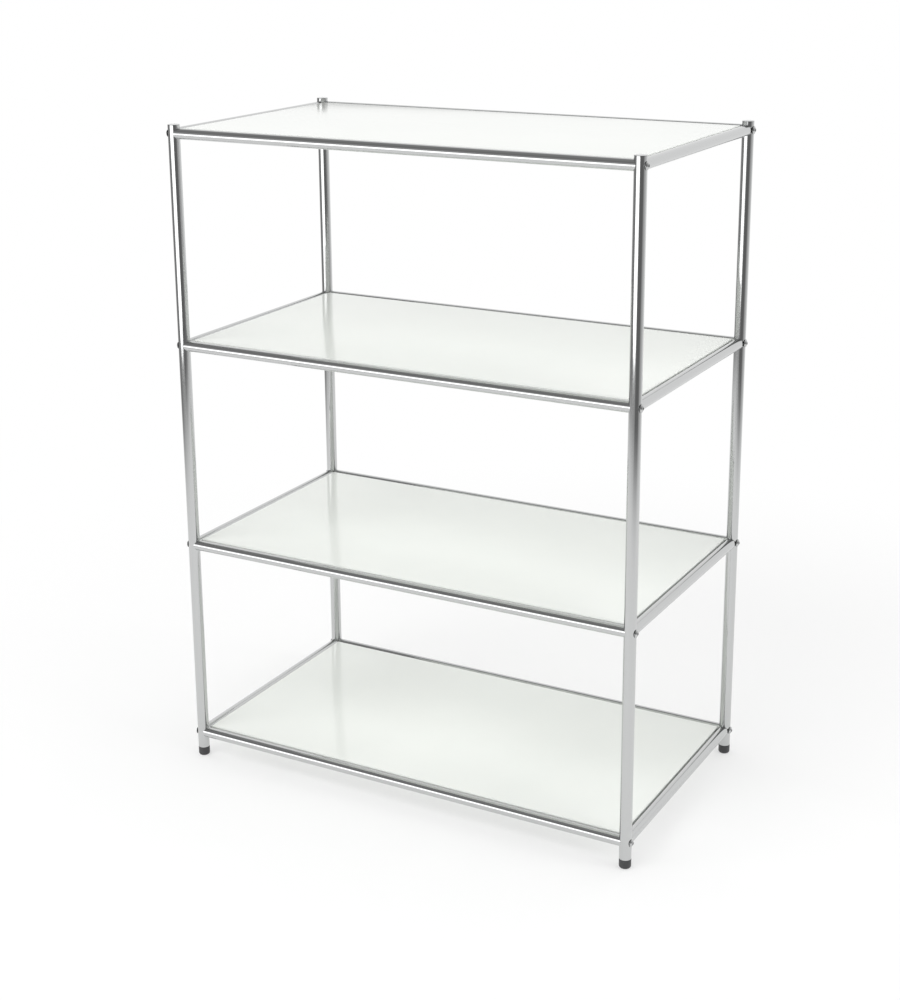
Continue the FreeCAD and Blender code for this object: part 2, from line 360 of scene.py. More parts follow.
def chromed_fastener(finish):
    """Chromium plate on turned and pressed steel."""
    # Small fittings are barrel plated, so the shine is even with fine frosting in the hollows.
    made, tree, shader = new_material("chromium_plated_fitting")
    shader.inputs["Metallic"].default_value = 1.0
    place = add(tree, "ShaderNodeTexCoord").outputs["Object"]
    frost_size = 2.5 * MM
    grit_size = 0.5 * MM
    frost_shine = 0.86
    frosted = [frost_shine * part for part in finish.chrome]
    frost = add(tree, "ShaderNodeTexNoise", {"Scale": 1 / frost_size, "Detail": 4.0}, {"Vector": place})
    tone = add(tree, "ShaderNodeMix",
               {"data_type": "RGBA", "A": (*finish.chrome, 1), "B": (*frosted, 1)}, {"Factor": frost})
    rough = add(tree, "ShaderNodeMapRange",
                {"From Min": 0.3, "From Max": 0.7, "To Min": 0.07, "To Max": 0.16}, {"Value": frost})
    grit = add(tree, "ShaderNodeTexNoise", {"Scale": 1 / grit_size, "Detail": 2.0}, {"Vector": place})
    bump = add(tree, "ShaderNodeBump", {"Strength": 0.2, "Distance": 0.006 * MM}, {"Height": grit})
    link_surface(tree, shader, tone, rough, bump)
    return made


def stoved_enamel(finish):
    """White stoved enamel, sprayed on sheet steel."""
    # A sprayed coat flows out almost flat: high gloss with faint orange peel and fine wiping marks.
    made, tree, shader = new_material("white_stoved_enamel")
    shader.inputs["IOR"].default_value = 1.5
    place = add(tree, "ShaderNodeTexCoord").outputs["Object"]
    # The coat's thickness drifts from place to place.
    drift_size = 140 * MM
    drift = add(tree, "ShaderNodeTexNoise", {"Scale": 1 / drift_size, "Detail": 3.0}, {"Vector": place})
    tone = add(tree, "ShaderNodeMix",
               {"data_type": "RGBA", "A": (*finish.enamel, 1), "B": (*finish.enamel_shade, 1)},
               {"Factor": drift})
    # The wiping marks run along the shelf at a slight slant.
    wipe_width = 1.5 * MM
    wipe_length = 70 * MM
    wipe_slant = math.radians(12)
    wipe_place = add(tree, "ShaderNodeMapping",
                     {"Rotation": (0, 0, wipe_slant),
                      "Scale": (1 / wipe_length, 1 / wipe_width, 1 / wipe_length)},
                     {"Vector": place})
    wipe = add(tree, "ShaderNodeTexNoise", {"Scale": 1.0, "Detail": 2.0}, {"Vector": wipe_place})
    gloss = add(tree, "ShaderNodeMix", {"data_type": "FLOAT", "Factor": 0.4}, {"A": drift, "B": wipe})
    rough = add(tree, "ShaderNodeMapRange",
                {"From Min": 0.3, "From Max": 0.7, "To Min": 0.07, "To Max": 0.15}, {"Value": gloss})
    # The orange peel is measured from crest to crest.
    peel_size = 3 * MM
    peel = add(tree, "ShaderNodeTexNoise", {"Scale": 1 / peel_size, "Detail": 1.0}, {"Vector": place})
    bump = add(tree, "ShaderNodeBump", {"Strength": 0.15, "Distance": 0.01 * MM}, {"Height": peel})
    link_surface(tree, shader, tone, rough, bump)
    return made


def moulded_plastic(finish):
    """Black moulded polyethylene, as used for furniture feet."""
    # The mould's spark grain dulls it, and the floor has rubbed the lower edge grey.
    made, tree, shader = new_material("black_moulded_polyethylene")
    shader.inputs["IOR"].default_value = 1.51
    place = add(tree, "ShaderNodeTexCoord").outputs["Object"]
    grain_size = 0.8 * MM
    scuff_height = 5 * MM
    grain = add(tree, "ShaderNodeTexNoise", {"Scale": 1 / grain_size, "Detail": 3.0}, {"Vector": place})
    height = add(tree, "ShaderNodeSeparateXYZ", links={"Vector": place}).outputs["Z"]
    low = add(tree, "ShaderNodeMapRange",
              {"From Min": 0.0, "From Max": scuff_height, "To Min": 0.55, "To Max": 0.0}, {"Value": height})
    scuff = add(tree, "ShaderNodeMath", {"operation": "MULTIPLY"}, {0: low, 1: grain})
    tone = add(tree, "ShaderNodeMix",
               {"data_type": "RGBA", "A": (*finish.plastic, 1), "B": (*finish.plastic_scuff, 1)},
               {"Factor": scuff})
    rough = add(tree, "ShaderNodeMapRange",
                {"From Min": 0.3, "From Max": 0.7, "To Min": 0.36, "To Max": 0.52}, {"Value": grain})
    bump = add(tree, "ShaderNodeBump", {"Strength": 0.4, "Distance": 0.03 * MM}, {"Height": grain})
    link_surface(tree, shader, tone, rough, bump)
    return made


def zinc_plate(finish):
    """Zinc-plated steel of the hidden threaded pieces."""
    # Barrel plating gives a soft grey shine with cloudy, slightly dulled patches.
    made, tree, shader = new_material("zinc_plated_steel")
    shader.inputs["Metallic"].default_value = 1.0
    place = add(tree, "ShaderNodeTexCoord").outputs["Object"]
    bloom_size = 4 * MM
    bloom = add(tree, "ShaderNodeTexNoise", {"Scale": 1 / bloom_size, "Detail": 5.0}, {"Vector": place})
    tone = add(tree, "ShaderNodeMix",
               {"data_type": "RGBA", "A": (*finish.zinc, 1), "B": (*finish.zinc_shade, 1)},
               {"Factor": bloom})
    rough = add(tree, "ShaderNodeMapRange",
                {"From Min": 0.3, "From Max": 0.7, "To Min": 0.28, "To Max": 0.45}, {"Value": bloom})
    bump = add(tree, "ShaderNodeBump", {"Strength": 0.2, "Distance": 0.01 * MM}, {"Height": bloom})
    link_surface(tree, shader, tone, rough, bump)
    return made


FINISHES = {
    "chromium_plated_drawn_tube": chromed_tube,
    "chromium_plated_fitting": chromed_fastener,
    "white_stoved_enamel": stoved_enamel,
    "black_moulded_polyethylene": moulded_plastic,
    "zinc_plated_steel": zinc_plate,
}


def material(name):
    """A finish by its name, made at its first use."""
    made = bpy.data.materials.get(name)
    return made or FINISHES[name](bpy.context.scene.bookcase_finish)


def link_mesh(name, mesh):
    """An object in the scene for a mesh."""
    made = bpy.data.objects.new(name, mesh)
    bpy.context.scene.collection.objects.link(made)
    return made


def mesh_of(name, shape):
    """A mesh from a bmesh, with its doubles merged and its faces turned outward."""
    bmesh.ops.remove_doubles(shape, verts=shape.verts, dist=0.0001 * MM)
    bmesh.ops.recalc_face_normals(shape, faces=shape.faces)
    mesh = bpy.data.meshes.new(name)
    shape.to_mesh(mesh)
    shape.free()
    return mesh


def smoothed(mesh, angle=32):
    """Shade a mesh smooth, apart from its edges over an angle in degrees."""
    mesh.shade_smooth()
    mesh.set_sharp_from_angle(angle=math.radians(angle))
    return mesh


def skin(shape, rings, closed=False):
    """Join rings of points with faces. A ring of one point is a pole."""
    made = [[shape.verts.new(place) for place in ring] for ring in rings]
    pairs = list(zip(made, made[1:]))
    if closed:
        pairs.append((made[-1], made[0]))
    for lower, upper in pairs:
        count = max(len(lower), len(upper))
        for step in range(count):
            after = (step + 1) % count
            if len(lower) == 1:
                shape.faces.new((lower[0], upper[after], upper[step]))
            elif len(upper) == 1:
                shape.faces.new((lower[step], lower[after], upper[0]))
            else:
                shape.faces.new((lower[step], lower[after], upper[after], upper[step]))
    return made


def round_ring(radius, height, count, flats=0):
    """A ring about the Z axis, or a hexagon's outline where the flats are counted."""
    if radius == 0:
        return [Vector((0, 0, height))]
    places = []
    for step in range(count):
        angle = 2 * math.pi * step / count
        reach = radius
        if flats:
            sector = 2 * math.pi / flats
            reach = radius / math.cos(angle % sector - sector / 2)
        places.append(Vector((reach * math.cos(angle), reach * math.sin(angle), height)))
    return places


def turned(profile, count, closed=False):
    """A shape turned about the Z axis from pairs of a radius and a height."""
    shape = bmesh.new()
    skin(shape, [round_ring(radius, height, count) for radius, height in profile], closed)
    return shape


def arc(middle, radius, start, end, steps):
    """Points on an arc about a middle, from one angle to another in degrees."""
    points = []
    for step in range(steps + 1):
        angle = math.radians(start + (end - start) * step / steps)
        points.append((middle[0] + radius * math.cos(angle), middle[1] + radius * math.sin(angle)))
    return points


def map_tube(mesh, radius):
    """Map an upright tube's faces by the way round it and the way up, joined across the seam."""
    mapping = mesh.uv_layers.new(name=TUBE_MAP)
    for face in mesh.polygons:
        angles = []
        for vertex in face.vertices:
            place = mesh.vertices[vertex].co
            angles.append(math.atan2(place.y, place.x) % (2 * math.pi))
        at_seam = max(angles) - min(angles) > math.pi
        for corner, vertex, angle in zip(face.loop_indices, face.vertices, angles):
            if at_seam and angle < math.pi:
                angle += 2 * math.pi
            mapping.data[corner].uv = (angle * radius, mesh.vertices[vertex].co.z)


def from_nodes(name, tree, values):
    """An object with the plain mesh that a Geometry Nodes tree makes from named values."""
    holder = link_mesh(name, bpy.data.meshes.new(name + "_start"))
    modifier = holder.modifiers.new(tree.name, "NODES")
    modifier.node_group = tree
    for item in tree.interface.items_tree:
        if item.in_out == "INPUT" and item.name in values:
            modifier[item.identifier] = values[item.name]
    evaluated = holder.evaluated_get(bpy.context.evaluated_depsgraph_get())
    mesh = bpy.data.meshes.new_from_object(evaluated)
    holder.modifiers.remove(modifier)
    start = holder.data
    holder.data = mesh
    bpy.data.meshes.remove(start)
    mesh.name = name
    return holder


def tree_with(name, inputs):
    """A Geometry Nodes tree with named inputs and one geometry output."""
    tree = bpy.data.node_groups.new(name, "GeometryNodeTree")
    for label, kind in inputs.items():
        tree.interface.new_socket(label, in_out="INPUT", socket_type=kind)
    tree.interface.new_socket("Geometry", in_out="OUTPUT", socket_type="NodeSocketGeometry")
    return tree, add(tree, "NodeGroupInput").outputs


def other_leg(tree, longest, leg):
    """The other leg of a right-angled triangle, from Pythagoras, or 0 where there is no triangle."""
    longest_square = add(tree, "ShaderNodeMath", {"operation": "MULTIPLY"}, {0: longest, 1: longest})
    leg_square = add(tree, "ShaderNodeMath", {"operation": "MULTIPLY"}, {0: leg, 1: leg})
    left = add(tree, "ShaderNodeMath", {"operation": "SUBTRACT"}, {0: longest_square, 1: leg_square})
    safe = add(tree, "ShaderNodeMath", {"operation": "MAXIMUM", 1: 0.0}, {0: left})
    return add(tree, "ShaderNodeMath", {"operation": "SQRT"}, {0: safe})


def level_points(tree, given):
    """A point over the middle of the bookcase on each level."""
    first = add(tree, "ShaderNodeCombineXYZ", links={"Z": given["First Level"]})
    step = add(tree, "ShaderNodeCombineXYZ", links={"Z": given["Tier"]})
    return add(tree, "GeometryNodeMeshLine",
               links={"Count": given["Levels"], "Start Location": first, "Offset": step})


def end_tree(tree, given, copies):
    """End a tree in real meshes with their material."""
    real = add(tree, "GeometryNodeRealizeInstances", links={"Geometry": copies})
    finished = add(tree, "GeometryNodeSetMaterial", links={"Geometry": real, "Material": given["Material"]})
    add(tree, "NodeGroupOutput", links={"Geometry": finished})


def coped_rail_tree():
    """Pairs of rails on each level, with ends hollowed for the posts and notched for the crossing rails."""
    tree, given = tree_with("Coped rail pairs", {
        "Length": "NodeSocketFloat",
        "Half Gap": "NodeSocketFloat",
        "Radius": "NodeSocketFloat",
        "Wall": "NodeSocketFloat",
        "Post Radius": "NodeSocketFloat",
        "Notch Radius": "NodeSocketFloat",
        "Points Round": "NodeSocketInt",
        "Levels": "NodeSocketInt",
        "First Level": "NodeSocketFloat",
        "Tier": "NodeSocketFloat",
        "Turn": "NodeSocketFloat",
        "Material": "NodeSocketMaterial",
    })
    # A flat grid is rolled into the tube: five rows go from the inside of one end over the outside and back.
    grid = add(tree, "GeometryNodeMeshGrid", {"Size X": 1.0, "Size Y": 1.0, "Vertices Y": 5},
               {"Vertices X": given["Points Round"]})
    place = add(tree, "GeometryNodeInputPosition")
    flat = add(tree, "ShaderNodeSeparateXYZ", links={0: place}).outputs
    angle = add(tree, "ShaderNodeMath", {"operation": "MULTIPLY", 1: 2 * math.pi}, {0: flat["X"]})
    # The second and third rows lie on the outside, and the third and fourth at the far end.
    half_row = 0.125
    row_reach = 0.2
    outside = add(tree, "FunctionNodeCompare",
                  {"operation": "EQUAL", "B": -half_row, "Epsilon": row_reach}, {"A": flat["Y"]})
    far_end = add(tree, "FunctionNodeCompare",
                  {"operation": "EQUAL", "B": half_row, "Epsilon": row_reach}, {"A": flat["Y"]})
    bore = add(tree, "ShaderNodeMath", {"operation": "SUBTRACT"}, {0: given["Radius"], 1: given["Wall"]})
    reach = add(tree, "GeometryNodeSwitch", {"input_type": "FLOAT"},
                {"Switch": outside, "False": bore, "True": given["Radius"]})
    cosine = add(tree, "ShaderNodeMath", {"operation": "COSINE"}, {0: angle})
    sine = add(tree, "ShaderNodeMath", {"operation": "SINE"}, {0: angle})
    inward = add(tree, "ShaderNodeMath", {"operation": "MULTIPLY"}, {0: reach, 1: cosine})
    upward = add(tree, "ShaderNodeMath", {"operation": "MULTIPLY"}, {0: reach, 1: sine})
    # The end is cut by the post's surface beside this point.
    post_end = other_leg(tree, given["Post Radius"], inward)
    # The crossing rail's surface at this height cuts it too, on the inner side only.
    notch_end = other_leg(tree, given["Notch Radius"], upward)
    inner_side = add(tree, "ShaderNodeMath", {"operation": "GREATER_THAN", 1: 0.0}, {0: inward})
    notch_inner = add(tree, "ShaderNodeMath", {"operation": "MULTIPLY"}, {0: notch_end, 1: inner_side})
    cut = add(tree, "ShaderNodeMath", {"operation": "MAXIMUM"}, {0: post_end, 1: notch_inner})
    half = add(tree, "ShaderNodeMath", {"operation": "MULTIPLY", 1: 0.5}, {0: given["Length"]})
    end = add(tree, "ShaderNodeMath", {"operation": "SUBTRACT"}, {0: half, 1: cut})
    near = add(tree, "ShaderNodeMath", {"operation": "MULTIPLY", 1: -1.0}, {0: end})
    along = add(tree, "GeometryNodeSwitch", {"input_type": "FLOAT"},
                {"Switch": far_end, "False": near, "True": end})
    around = add(tree, "ShaderNodeMath", {"operation": "MULTIPLY"}, {0: angle, 1: given["Radius"]})
    tube_place = add(tree, "ShaderNodeCombineXYZ", links={"X": around, "Y": along})
    mapped = add(tree, "GeometryNodeStoreNamedAttribute",
                 {"data_type": "FLOAT2", "domain": "CORNER", "Name": TUBE_MAP},
                 {"Geometry": grid, "Value": tube_place})
    rolled_place = add(tree, "ShaderNodeCombineXYZ", links={"X": along, "Y": inward, "Z": upward})
    rolled = add(tree, "GeometryNodeSetPosition", links={"Geometry": mapped, "Position": rolled_place})
    tube = add(tree, "GeometryNodeMergeByDistance", {"Distance": 0.001 * MM}, {"Geometry": rolled})
    # One rail stands on the near side and its turned copy on the far side.
    near_side = add(tree, "ShaderNodeMath", {"operation": "MULTIPLY", 1: -1.0}, {0: given["Half Gap"]})
    near_place = add(tree, "ShaderNodeCombineXYZ", links={"Y": near_side})
    far_place = add(tree, "ShaderNodeCombineXYZ", links={"Y": given["Half Gap"]})
    near_rail = add(tree, "GeometryNodeTransform", links={"Geometry": tube, "Translation": near_place})
    far_rail = add(tree, "GeometryNodeTransform", {"Rotation": (0, 0, math.pi)},
                   {"Geometry": tube, "Translation": far_place})
    pair = add(tree, "GeometryNodeJoinGeometry", links={"Geometry": near_rail})
    tree.links.new(far_rail.outputs[0], pair.inputs["Geometry"])
    turn = add(tree, "ShaderNodeCombineXYZ", links={"Z": given["Turn"]})
    turned_pair = add(tree, "GeometryNodeTransform", links={"Geometry": pair, "Rotation": turn})
    copies = add(tree, "GeometryNodeInstanceOnPoints",
                 links={"Points": level_points(tree, given), "Instance": turned_pair})
    end_tree(tree, given, copies)
    return tree


def corner_copies_tree():
    """Copies of one piece at the four corners of each level, with those on the left turned round."""
    tree, given = tree_with("Copies at the corners", {
        "Piece": "NodeSocketObject",
        "Half X": "NodeSocketFloat",
        "Half Y": "NodeSocketFloat",
        "Levels": "NodeSocketInt",
        "First Level": "NodeSocketFloat",
        "Tier": "NodeSocketFloat",
        "Material": "NodeSocketMaterial",
    })
    size_x = add(tree, "ShaderNodeMath", {"operation": "MULTIPLY", 1: 2.0}, {0: given["Half X"]})
    size_y = add(tree, "ShaderNodeMath", {"operation": "MULTIPLY", 1: 2.0}, {0: given["Half Y"]})
    plan = add(tree, "GeometryNodeMeshGrid", {"Vertices X": 2, "Vertices Y": 2},
               {"Size X": size_x, "Size Y": size_y})
    plans = add(tree, "GeometryNodeInstanceOnPoints",
                links={"Points": level_points(tree, given), "Instance": plan})
    corners = add(tree, "GeometryNodeRealizeInstances", links={"Geometry": plans})
    place = add(tree, "GeometryNodeInputPosition")
    parts = add(tree, "ShaderNodeSeparateXYZ", links={0: place}).outputs
    on_left = add(tree, "ShaderNodeMath", {"operation": "LESS_THAN", 1: 0.0}, {0: parts["X"]})
    half_turn = add(tree, "ShaderNodeMath", {"operation": "MULTIPLY", 1: math.pi}, {0: on_left})
    turn = add(tree, "ShaderNodeCombineXYZ", links={"Z": half_turn})
    piece = add(tree, "GeometryNodeObjectInfo", links={"Object": given["Piece"]}).outputs["Geometry"]
    copies = add(tree, "GeometryNodeInstanceOnPoints",
                 links={"Points": corners, "Instance": piece, "Rotation": turn})
    end_tree(tree, given, copies)
    return tree


def node_tree(make, name):
    """A Geometry Nodes tree by its name, made at its first use."""
    return bpy.data.node_groups.get(name) or make()


def corner_copies(name, pattern, levels, finish, outward=0.0):
    """A piece repeated at the corners of one or more levels."""
    tubes = bpy.context.scene.bookcase_tubes
    master = link_mesh(name + "_pattern", pattern)
    made = from_nodes(name, node_tree(corner_copies_tree, "Copies at the corners"), {
        "Piece": master,
        "Half X": tubes.half_x + outward,
        "Half Y": tubes.half_y,
        "Levels": levels,
        "First Level": tubes.first_level if levels > 1 else 0.0,
        "Tier": tubes.tier,
        "Material": material(finish),
    })
    bpy.data.objects.remove(master)
    bpy.data.meshes.remove(pattern)
    return made


def dress(piece, body, slot, *nodes):
    """Put a piece on its body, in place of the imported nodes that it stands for."""
    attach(piece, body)
    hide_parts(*nodes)


class BOOKCASE_OT_posts(bpy.types.Operator):
    """Make the four upright tubes and the caps that close them"""

    bl_idname = "bookcase.posts"
    bl_label = "Posts and caps"

    def execute(self, context):
        tubes = context.scene.bookcase_tubes
        count = tubes.points_round
        outer = tubes.post_radius
        inner = outer - tubes.wall
        edge = 0.25 * MM
        section = [
            (inner, tubes.post_low),
            (outer - edge, tubes.post_low),
            (outer, tubes.post_low + edge),
            (outer, tubes.post_high - edge / 2),
            (outer - edge / 2, tubes.post_high),
            (inner, tubes.post_high),
        ]
        pattern = mesh_of("post_pattern", turned(section, count, closed=True))
        map_tube(pattern, outer)
        posts = corner_copies("posts", pattern, 1, "chromium_plated_drawn_tube")
        smoothed(posts.data)
        dress(posts, "frame", "chrome", *[f"post_{corner}" for corner in CORNERS])

        bevel = 0.6 * MM
        seam_edge = 0.15 * MM
        spigot_gap = 0.05 * MM
        spigot_tip = 0.4 * MM
        spigot = inner - spigot_gap
        profile = [
            (0.0, tubes.cap_bottom),
            (inner - spigot_tip, tubes.cap_bottom),
            (spigot, tubes.cap_bottom + spigot_tip),
            (spigot, tubes.post_high),
            (outer - seam_edge, tubes.post_high),
            (outer, tubes.post_high + seam_edge),
            *arc((outer - bevel, tubes.cap_top - bevel), bevel, 0, 90, steps=6),
            (outer / 2, tubes.cap_top),
            (0.0, tubes.cap_top),
        ]
        pattern = mesh_of("cap_pattern", turned(profile, count))
        caps = corner_copies("post_caps", pattern, 1, "chromium_plated_fitting")
        smoothed(caps.data)
        dress(caps, "frame", "chrome", *[f"post_cap_{corner}" for corner in CORNERS])
        return {"FINISHED"}


class BOOKCASE_OT_rails(bpy.types.Operator):
    """Make the long rails and the side rails, with their ends hollowed to fit the posts"""

    bl_idname = "bookcase.rails"
    bl_label = "Rails"

    def execute(self, context):
        tubes = context.scene.bookcase_tubes
        shared = {
            "Radius": tubes.rail_radius,
            "Wall": tubes.wall,
            "Post Radius": tubes.post_radius + tubes.cope_gap,
            "Points Round": tubes.points_round + 1,
            "Levels": len(LEVELS),
            "First Level": tubes.first_level,
            "Tier": tubes.tier,
            "Material": material("chromium_plated_drawn_tube"),
        }
        groups = {
            "long_rails": (("front", "rear"), {
                "Length": 2 * tubes.half_x,
                "Half Gap": tubes.half_y,
                "Notch Radius": tubes.rail_radius + tubes.notch_gap,
                "Turn": 0.0,
            }),
            "side_rails": (("left", "right"), {
                "Length": 2 * tubes.half_y,
                "Half Gap": tubes.half_x,
                "Notch Radius": 0.0,
                "Turn": math.pi / 2,
            }),
        }
        for name, (sides, sizes) in groups.items():
            rails = from_nodes(name, node_tree(coped_rail_tree, "Coped rail pairs"), {**shared, **sizes})
            shape = bmesh.new()
            shape.from_mesh(rails.data)
            bmesh.ops.recalc_face_normals(shape, faces=shape.faces)
            shape.to_mesh(rails.data)
            shape.free()
            smoothed(rails.data)
            dress(rails, "frame", "chrome", *[f"{side}_rail_{level}" for side in sides for level in LEVELS])
        return {"FINISHED"}


class BOOKCASE_OT_bolts(bpy.types.Operator):
    """Make the flanged bolts on the outer sides of the posts"""

    bl_idname = "bookcase.bolts"
    bl_label = "Bolts"

    def execute(self, context):
        sizes = context.scene.bookcase_bolts
        tubes = context.scene.bookcase_tubes
        count = 48
        rim = 0.3 * MM
        tip = 0.8 * MM
        lip_drop = 0.15 * MM
        drill_depth = 0.5 * MM
        profile = [
            (0.0, -sizes.shank),
            (sizes.shank_radius - tip, -sizes.shank),
            (sizes.shank_radius, -sizes.shank + tip),
            (sizes.shank_radius, 0.0),
            (sizes.head_radius - rim, 0.0),
            (sizes.head_radius, rim),
            (sizes.head_radius, sizes.flange - rim),
            (sizes.head_radius - rim, sizes.flange),
        ]
        # The dome is part of a ball, and ends just outside the corners of the hexagon.
        opening = 0.62 * sizes.socket
        dome_height = sizes.height - sizes.flange
        ball = (sizes.dome_radius ** 2 + dome_height ** 2) / (2 * dome_height)
        dome_steps = 8
        for step in range(dome_steps + 1):
            radius = sizes.dome_radius + (opening - sizes.dome_radius) * step / dome_steps
            profile.append((radius, sizes.height - ball + math.sqrt(ball ** 2 - radius ** 2)))
        rings = [round_ring(radius, height, count) for radius, height in profile]
        lip = profile[-1][1] - lip_drop
        floor = sizes.height - sizes.socket_depth
        rings.append(round_ring(sizes.socket / 2, lip, count, flats=6))
        rings.append(round_ring(sizes.socket / 2, floor, count, flats=6))
        rings.append(round_ring(0.0, floor - drill_depth, count))
        shape = bmesh.new()
        skin(shape, rings)
        bmesh.ops.rotate(shape, verts=shape.verts, cent=(0, 0, 0),
                         matrix=Matrix.Rotation(math.pi / 2, 3, "Y"))
        bolts = corner_copies("rail_bolts", mesh_of("bolt_pattern", shape), len(LEVELS),
                              "chromium_plated_fitting", outward=tubes.post_radius)
        smoothed(bolts.data, angle=28)
        dress(bolts, "frame", "chrome", *[f"rail_bolts_{level}" for level in LEVELS])
        return {"FINISHED"}


def shelf_ring(sizes, inset, height):
    """A rounded rectangle inside a shelf's outline."""
    least_radius = 0.15 * MM
    radius = max(sizes.corner - inset, least_radius)
    half_x = sizes.size_x / 2 - inset - radius
    half_y = sizes.size_y / 2 - inset - radius
    places = []
    for sign_x, sign_y, start in ((1, 1, 0), (-1, 1, 90), (-1, -1, 180), (1, -1, 270)):
        points = arc((sign_x * half_x, sign_y * half_y), radius, start, start + 90, steps=5)
        places += [Vector((x, y, height)) for x, y in points]
    return places


class BOOKCASE_OT_shelves(bpy.types.Operator):
    """Make the four folded sheet-steel shelves"""

    bl_idname = "bookcase.shelves"
    bl_label = "Shelves"

    def execute(self, context):
        sizes = context.scene.bookcase_shelves
        for level in LEVELS:
            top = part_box(f"shelf_{level}")[1].z
            low = top - sizes.height
            bend_middle = (sizes.bend, top - sizes.bend)
            lip_bend_middle = (sizes.lip_bend, low + sizes.lip_bend)
            # Down the outside, round the lip and back up the inside.
            section = [
                *arc(bend_middle, sizes.bend, 90, 180, steps=6),
                *arc(lip_bend_middle, sizes.lip_bend, 180, 270, steps=4),
                (sizes.lip, low),
                (sizes.lip, low + sizes.sheet),
                *arc(lip_bend_middle, sizes.lip_bend - sizes.sheet, 270, 180, steps=4),
                *arc(bend_middle, sizes.bend - sizes.sheet, 180, 90, steps=4),
            ]
            shape = bmesh.new()
            rings = skin(shape, [shelf_ring(sizes, inset, height) for inset, height in section])
            shape.faces.new(rings[0])
            shape.faces.new(list(reversed(rings[-1])))
            mesh = smoothed(mesh_of(f"shelf_{level}_tray", shape), angle=24)
            mesh.materials.append(material("white_stoved_enamel"))
            shelf = link_mesh(f"shelf_{level}_tray", mesh)
            dress(shelf, "frame", "white_enamel", f"shelf_{level}")
        return {"FINISHED"}


class BOOKCASE_OT_feet(bpy.types.Operator):
    """Make the four black levelling feet"""

    bl_idname = "bookcase.feet"
    bl_label = "Feet"

    def execute(self, context):
        sizes = context.scene.bookcase_feet
        tubes = context.scene.bookcase_tubes
        recess = 0.6 * MM
        recess_floor = 0.35 * sizes.radius
        recess_mouth = 0.42 * sizes.radius
        profile = [
            (0.0, recess),
            (recess_floor, recess),
            (recess_mouth, 0.0),
            *arc((sizes.radius - sizes.edge, sizes.edge), sizes.edge, -90, 0, steps=10),
            *arc((sizes.radius - sizes.rim, sizes.height - sizes.rim), sizes.rim, 0, 90, steps=4),
            (sizes.stem_radius, sizes.height),
            (sizes.stem_radius, sizes.stem_floor),
            (0.0, sizes.stem_floor),
        ]
        for corner, (sign_x, sign_y) in CORNERS.items():
            shape = turned(profile, tubes.points_round)
            place = (sign_x * tubes.half_x, sign_y * tubes.half_y, 0)
            bmesh.ops.translate(shape, verts=shape.verts, vec=place)
            mesh = smoothed(mesh_of(f"levelling_foot_{corner}", shape), angle=30)
            mesh.materials.append(material("black_moulded_polyethylene"))
            foot = link_mesh(f"levelling_foot_{corner}", mesh)
            dress(foot, f"foot_{corner}", "black_plastic", f"foot_{corner}")
        return {"FINISHED"}


class BOOKCASE_OT_fittings(bpy.types.Operator):
    """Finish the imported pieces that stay: stiffeners, tabs, plugs, inserts and stems"""

    bl_idname = "bookcase.fittings"
    bl_label = "Fittings"

    def execute(self, context):
        finishes = {
            "shelf_stiffener_": "white_stoved_enamel",
            "shelf_tabs_": "chromium_plated_fitting",
            "rail_plugs_": "zinc_plated_steel",
            "foot_insert_": "zinc_plated_steel",
            "foot_stem_": "zinc_plated_steel",
        }
        for name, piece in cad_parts.items():
            for start, finish in finishes.items():
                if name.startswith(start):
                    piece.data.materials.clear()
                    piece.data.materials.append(material(finish))
        return {"FINISHED"}


# Brightness of the studio by bearing, from the rear round by the left, the front and the right, where 1 is
# white. A white backdrop stands behind. The rest of the room is grey and gives the chrome its dark bands.
LOW_WALL = (
    (0.0, 1.0), (0.14, 1.0), (0.20, 0.30), (0.35, 0.28), (0.39, 0.42), (0.53, 0.42),
    (0.57, 0.17), (0.70, 0.18), (0.77, 0.55), (0.85, 0.72), (0.91, 1.0), (1.0, 1.0),
)
HIGH_WALL = (
    (0.0, 1.0), (0.14, 1.0), (0.20, 0.30), (0.35, 0.24), (0.57, 0.20),
    (0.70, 0.24), (0.77, 0.55), (0.85, 0.72), (0.91, 1.0), (1.0, 1.0),
)
CEILING = 0.3
GROUND = 1.0

# Where one part of the studio passes into the next, as the rise of a direction from -1 below to 1 above.
HIGH_WALL_RISE = (0.38, 0.56)
CEILING_RISE = (0.68, 0.92)
GROUND_RISE = (-0.28, -0.42)

# The front panel draws the white stripes along the tubes. The other lamps light the shelves and are kept
# out of the reflections. A level of 1 makes a lamp as bright as a white surface.
LAMPS = {
    "front_panel": {
        "place": (-0.78, -3.51, 0.68), "aim": (0, 0, 0.68), "width": 4.0, "height": 1.54,
        "level": 1.9, "mirrored": True},
    "overhead_box": {
        "place": (1.0, 0.6, 3.6), "aim": (0, 0, 0.6), "width": 3.0, "height": 2.4,
        "level": 0.95, "mirrored": False},
    "front_fill": {
        "place": (-0.8, -2.4, 3.4), "aim": (0, 0, 0.6), "width": 3.0, "height": 1.6,
        "level": 3.8, "mirrored": False},
    "right_fill": {
        "place": (4.4, -0.2, 2.0), "aim": (0, 0, 0.5), "width": 3.2, "height": 2.2,
        "level": 3.6, "mirrored": False},
    "left_fill": {
        "place": (-4.4, 0.2, 2.0), "aim": (0, 0, 0.5), "width": 3.2, "height": 2.2,
        "level": 3.0, "mirrored": False},
}


def grey_ramp(tree, value, stops):
    """Greys for a value from 0 to 1, from pairs of a place and a grey."""
    node = add(tree, "ShaderNodeValToRGB", links={"Fac": value})
    elements = node.color_ramp.elements
    while len(elements) < len(stops):
        elements.new(1.0)
    for element, (place, grey) in zip(elements, stops):
        element.position = place
        element.color = (grey, grey, grey, 1.0)
    return node


